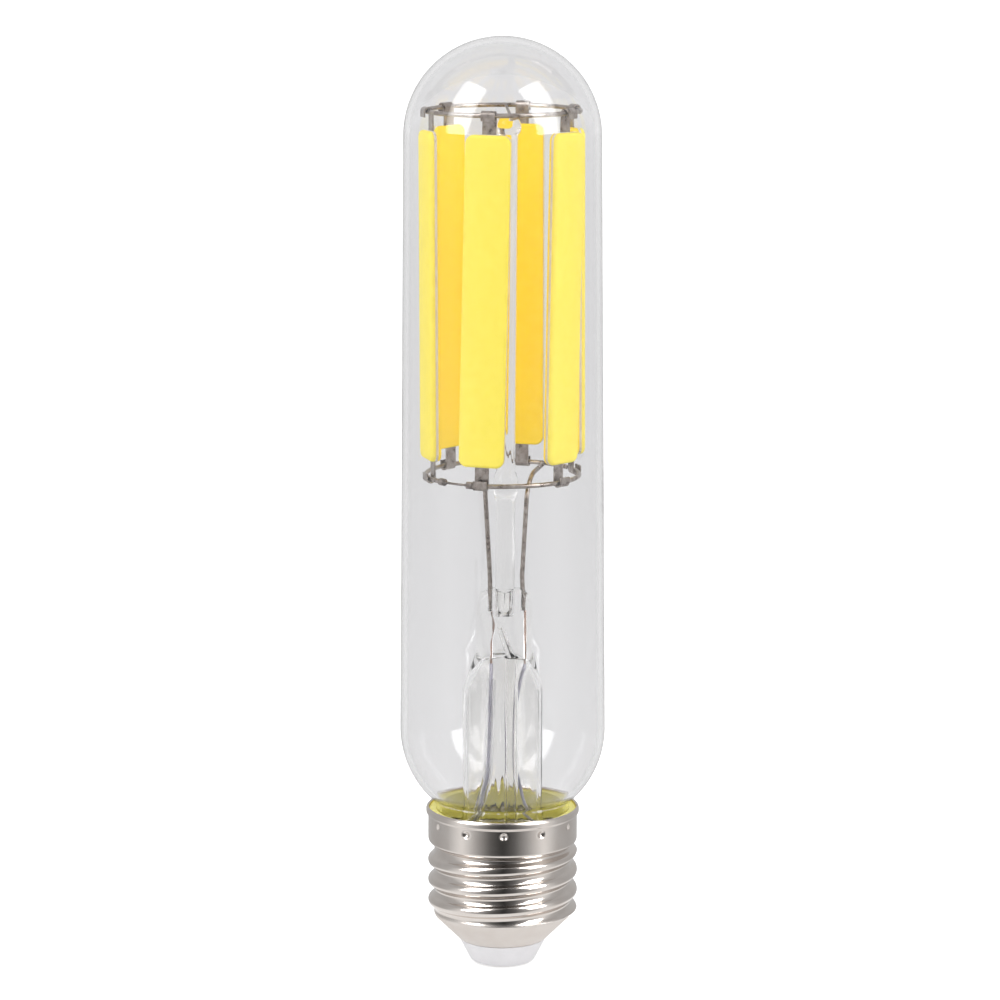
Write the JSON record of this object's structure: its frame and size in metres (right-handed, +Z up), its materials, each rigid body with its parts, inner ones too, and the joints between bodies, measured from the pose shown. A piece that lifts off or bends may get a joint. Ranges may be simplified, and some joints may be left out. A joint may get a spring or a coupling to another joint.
{
  "type": "led light bulb",
  "caption": "Tubular clear-glass LED filament bulb with upright yellow strips in a ring cage and a bright metal screw cap.",
  "frame": {"origin": "centre of the centre contact's flat bottom, on the cap's axis", "axes": "+Z up the axis from the contact to the dome; -Y is the side that the picture shows, +X its right"},
  "size_m": [0.0358, 0.0358, 0.1629],
  "materials": {
    "clear_glass": "clear, polished",
    "cap_metal": "bright nickel plate",
    "white_insulator": "satin white",
    "contact_metal": "plated, smooth",
    "yellow_cement": "glossy yellow to olive resin",
    "cage_metal": "drawn wire, slightly tarnished",
    "link_ceramic": "bright, smooth",
    "seal_wire": "copper-clad wire",
    "outer_lead": "lilac-grey enamel",
    "pale_sleeve": "translucent white",
    "led_chip": "smooth",
    "strip_base": "pale cream, matt",
    "yellow_phosphor": "soft yellow coat",
    "board_green": "solder-resist green",
    "capacitor_sleeve": "shrunk dark sleeve",
    "ferrite": "matt dark grey",
    "copper_winding": "enamelled copper",
    "black_moulding": "matt black",
    "resistor_body": "matt green lacquer"
  },
  "bodies": {
    "root": {"bridge_rectifier": "black_moulding", "cap_insulator": "white_insulator", "cap_shell": "cap_metal", "capping_cement": "yellow_cement", "centre_contact": "contact_metal", "choke_core": "ferrite", "choke_winding": "copper_winding", "driver_board": "board_green", "driver_chip": "black_moulding", "exhaust_tube": "clear_glass", "fusible_resistor": "resistor_body", "glass_envelope": "clear_glass", "glass_stem": "clear_glass", "inner_lead_left": "cage_metal", "inner_lead_right": "cage_metal", "lead_sleeve": "pale_sleeve", "led_chips": "led_chip", "lower_ring_front": "cage_metal", "lower_ring_rear": "cage_metal", "outer_lead_left": "outer_lead", "outer_lead_right": "outer_lead", "ring_link": "link_ceramic", "seal_wire_left": "seal_wire", "seal_wire_right": "seal_wire", "shell_wire": "cage_metal", "smoothing_capacitor": "capacitor_sleeve", "stem_post": "clear_glass", "strip_1_base": "strip_base", "strip_1_bottom_tab": "cage_metal", "strip_1_inner_phosphor": "yellow_phosphor", "strip_1_outer_phosphor": "yellow_phosphor", "strip_1_top_tab": "cage_metal", "strip_2_base": "strip_base", "strip_2_bottom_tab": "cage_metal", "strip_2_inner_phosphor": "yellow_phosphor", "strip_2_outer_phosphor": "yellow_phosphor", "strip_2_top_tab": "cage_metal", "strip_3_base": "strip_base", "strip_3_bottom_tab": "cage_metal", "strip_3_inner_phosphor": "yellow_phosphor", "strip_3_outer_phosphor": "yellow_phosphor", "strip_3_top_tab": "cage_metal", "strip_4_base": "strip_base", "strip_4_bottom_tab": "cage_metal", "strip_4_inner_phosphor": "yellow_phosphor", "strip_4_outer_phosphor": "yellow_phosphor", "strip_4_top_tab": "cage_metal", "strip_5_base": "strip_base", "strip_5_bottom_tab": "cage_metal", "strip_5_inner_phosphor": "yellow_phosphor", "strip_5_outer_phosphor": "yellow_phosphor", "strip_5_top_tab": "cage_metal", "strip_6_base": "strip_base", "strip_6_bottom_tab": "cage_metal", "strip_6_inner_phosphor": "yellow_phosphor", "strip_6_outer_phosphor": "yellow_phosphor", "strip_6_top_tab": "cage_metal", "support_wire": "cage_metal", "upper_ring": "cage_metal"}
  },
  "joints": []
}
